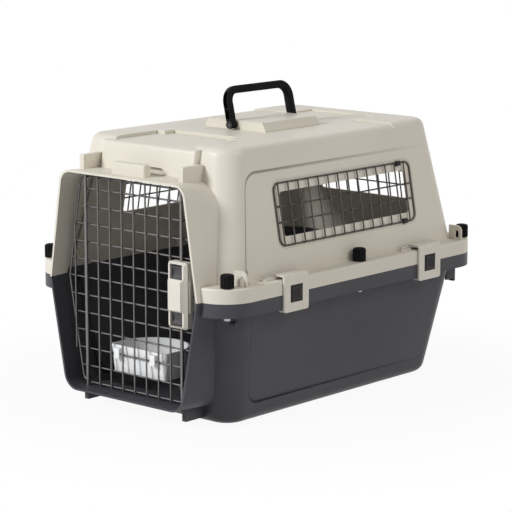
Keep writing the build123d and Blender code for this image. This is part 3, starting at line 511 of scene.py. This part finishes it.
def hubCollars():
    look = hubLook
    grip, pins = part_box("carry_handle"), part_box("handle_pivot_pins")
    front, rear = [Vector((0, end[1], (pins[0][2] + pins[1][2]) / 2)) for end in grip]
    deselectAll()
    bpy.ops.mesh.primitive_cylinder_add(
        vertices=look["sides"], radius=look["radius"], depth=2 * look["proud"],
        location=front, rotation=(math.pi / 2, 0, 0),
    )
    item = startPiece("hubCollar_front")
    dishFace(item, Vector((0, -1, 0)), look)
    # the collar gets that paler grey, a painted highlight
    finishPiece(item, "handle", "collar", look["edge"])
    copyPiece(item, "hubCollar_rear", "handle", front, rear, math.pi)


hubCollars()
print("stage: handle collars made")


# a shallow dished cap on each hand knob
capLook = {
    "radius": 0.0058, "sides": 36, "proud": 0.0004, "band": 0.0012, "sink": 0.0007, "edge": 0.0002,
}
knobPlaces = (
    "front_right", "front_left", "rear_right", "rear_left", "middle_right", "middle_left",
)


def knobMiddle(place):
    # the middle of the knob's top
    low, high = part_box("knob_" + place)
    return Vector(((low[0] + high[0]) / 2, (low[1] + high[1]) / 2, high[2]))


def firstKnobCap(place):
    look = capLook
    deselectAll()
    bpy.ops.mesh.primitive_cylinder_add(
        vertices=look["sides"], radius=look["radius"], depth=2 * look["proud"],
        location=knobMiddle(place),
    )
    item = startPiece("knobCap_" + place)
    dishFace(item, Vector((0, 0, 1)), look)
    finishPiece(item, "hand_knob_" + place, "handle", look["edge"])
    return item


def knobCaps():
    first = knobPlaces[0]
    item = firstKnobCap(first)
    for place in knobPlaces[1:]:
        copyPiece(
            item, "knobCap_" + place, "hand_knob_" + place,
            knobMiddle(first), knobMiddle(place),
        )


knobCaps()
print("stage: knob caps made")


# the floor of the arched notch over the door
notchLook = {
    "half": 0.0351, "front": -0.2355, "back": -0.2277, "low": 0.3369, "high": 0.3393,
    "edge": 0.0002,
}


def notchFloor():
    look = notchLook
    deselectAll()
    bpy.ops.mesh.primitive_cube_add(
        size=1,
        location=(0, (look["front"] + look["back"]) / 2, (look["low"] + look["high"]) / 2),
        scale=(2 * look["half"], look["back"] - look["front"], look["high"] - look["low"]),
    )
    item = startPiece("notchFloor")
    finishPiece(item, "carrier", "shell", look["edge"])


notchFloor()
print("stage: notch floor made")


# seen directly the floor is nearly white under the object, and quite white farther out
stageLook = {
    "floorSize": 9.0,
    "floorTone": (0.72, 0.72, 0.72, 1),
    "floorRoughness": 0.9,
    "nearWhite": 0.93,
    "fadeStart": 0.32,
    "fadeEnd": 0.62,
    "worldStrength": 0.32,
}
directRays = ("Is Camera Ray", "Is Glossy Ray", "Is Transmission Ray")


def seenDirectly(tree):
    # 1 for what the camera sees, itself, in a reflection or through something clear
    seen, *others = [Shade(tree).add("ShaderNodeLightPath", output=ray) for ray in directRays]
    for other in others:
        seen = seen.sum("MAXIMUM", seen, other)
    return seen


def floorFinish():
    look = stageLook
    material, surface, place = newFinish("paleFloor")
    hold(surface, {"Base Color": look["floorTone"], "Roughness": look["floorRoughness"]})
    tree = material.node_tree
    reach = place.add("ShaderNodeVectorMath", {"operation": "LENGTH"}, {0: place}, output="Value")
    far = place.add(
        "ShaderNodeMapRange", {"interpolation_type": "SMOOTHSTEP"},
        {"Value": reach, 1: look["fadeStart"], 2: look["fadeEnd"], 3: look["nearWhite"], 4: 1.0},
    )
    lit = Shade(tree, surface.outputs["BSDF"])
    glow = place.add("ShaderNodeEmission")
    blend = place.add("ShaderNodeMixShader", None, {0: far * seenDirectly(tree), 1: lit, 2: glow})
    tree.links.new(blend.socket, tree.nodes["Material Output"].inputs["Surface"])
    return material


def paleFloor():
    deselectAll()
    bpy.ops.mesh.primitive_plane_add(size=stageLook["floorSize"], location=(0, 0, 0))
    floor = bpy.context.object
    floor.name = "floor"
    floor.data.materials.append(floorFinish())


def whiteWorld():
    # seen directly or in a reflection the world is white; it lights more softly
    world = bpy.data.worlds.new("studio")
    bpy.context.scene.world = world
    world.use_nodes = True
    tree = world.node_tree
    background = tree.nodes["Background"]
    soft = stageLook["worldStrength"]
    feed(background, "Strength", soft + (1.0 - soft) * seenDirectly(tree))
    hold(background, {"Color": (1, 1, 1, 1)})


lampLook = {
    "key": {"place": (-1.2, -3.6, 2.3), "size": 1.2, "power": 132, "tone": (0.965, 0.99, 1.0)},
    "side": {"place": (2.9, 0.8, 2.4), "size": 1.4, "power": 32, "tone": (1.0, 0.97, 0.92)},
}
lampAim = (0, 0, 0.2)


def addLamp(name, look):
    light = bpy.data.lights.new(name, "AREA")
    light.shape = "DISK"
    light.size = look["size"]
    light.energy = look["power"]
    light.color = look["tone"]
    lamp = bpy.data.objects.new(name, light)
    bpy.context.scene.collection.objects.link(lamp)
    lamp.location = look["place"]
    direction = Vector(lampAim) - Vector(look["place"])
    lamp.rotation_euler = direction.to_track_quat("-Z", "Y").to_euler()


cameraLook = {
    "lens": 154.5,
    "sensor": 36.0,
    "place": (2.0996, -2.37035, 0.7857),
    "view": (-0.65290, 0.73454, -0.18482),
}


def addCamera():
    look = cameraLook
    camera = bpy.data.cameras.new("camera")
    camera.lens = look["lens"]
    camera.sensor_width = look["sensor"]
    item = bpy.data.objects.new("camera", camera)
    bpy.context.scene.collection.objects.link(item)
    item.location = look["place"]
    item.rotation_euler = Vector(look["view"]).to_track_quat("-Z", "Y").to_euler()
    bpy.context.scene.camera = item


paleFloor()
whiteWorld()
for name, look in lampLook.items():
    addLamp(name + "Lamp", look)
addCamera()
bpy.context.scene.view_settings.view_transform = "Standard"
print("stage: floor, lamps and camera set")
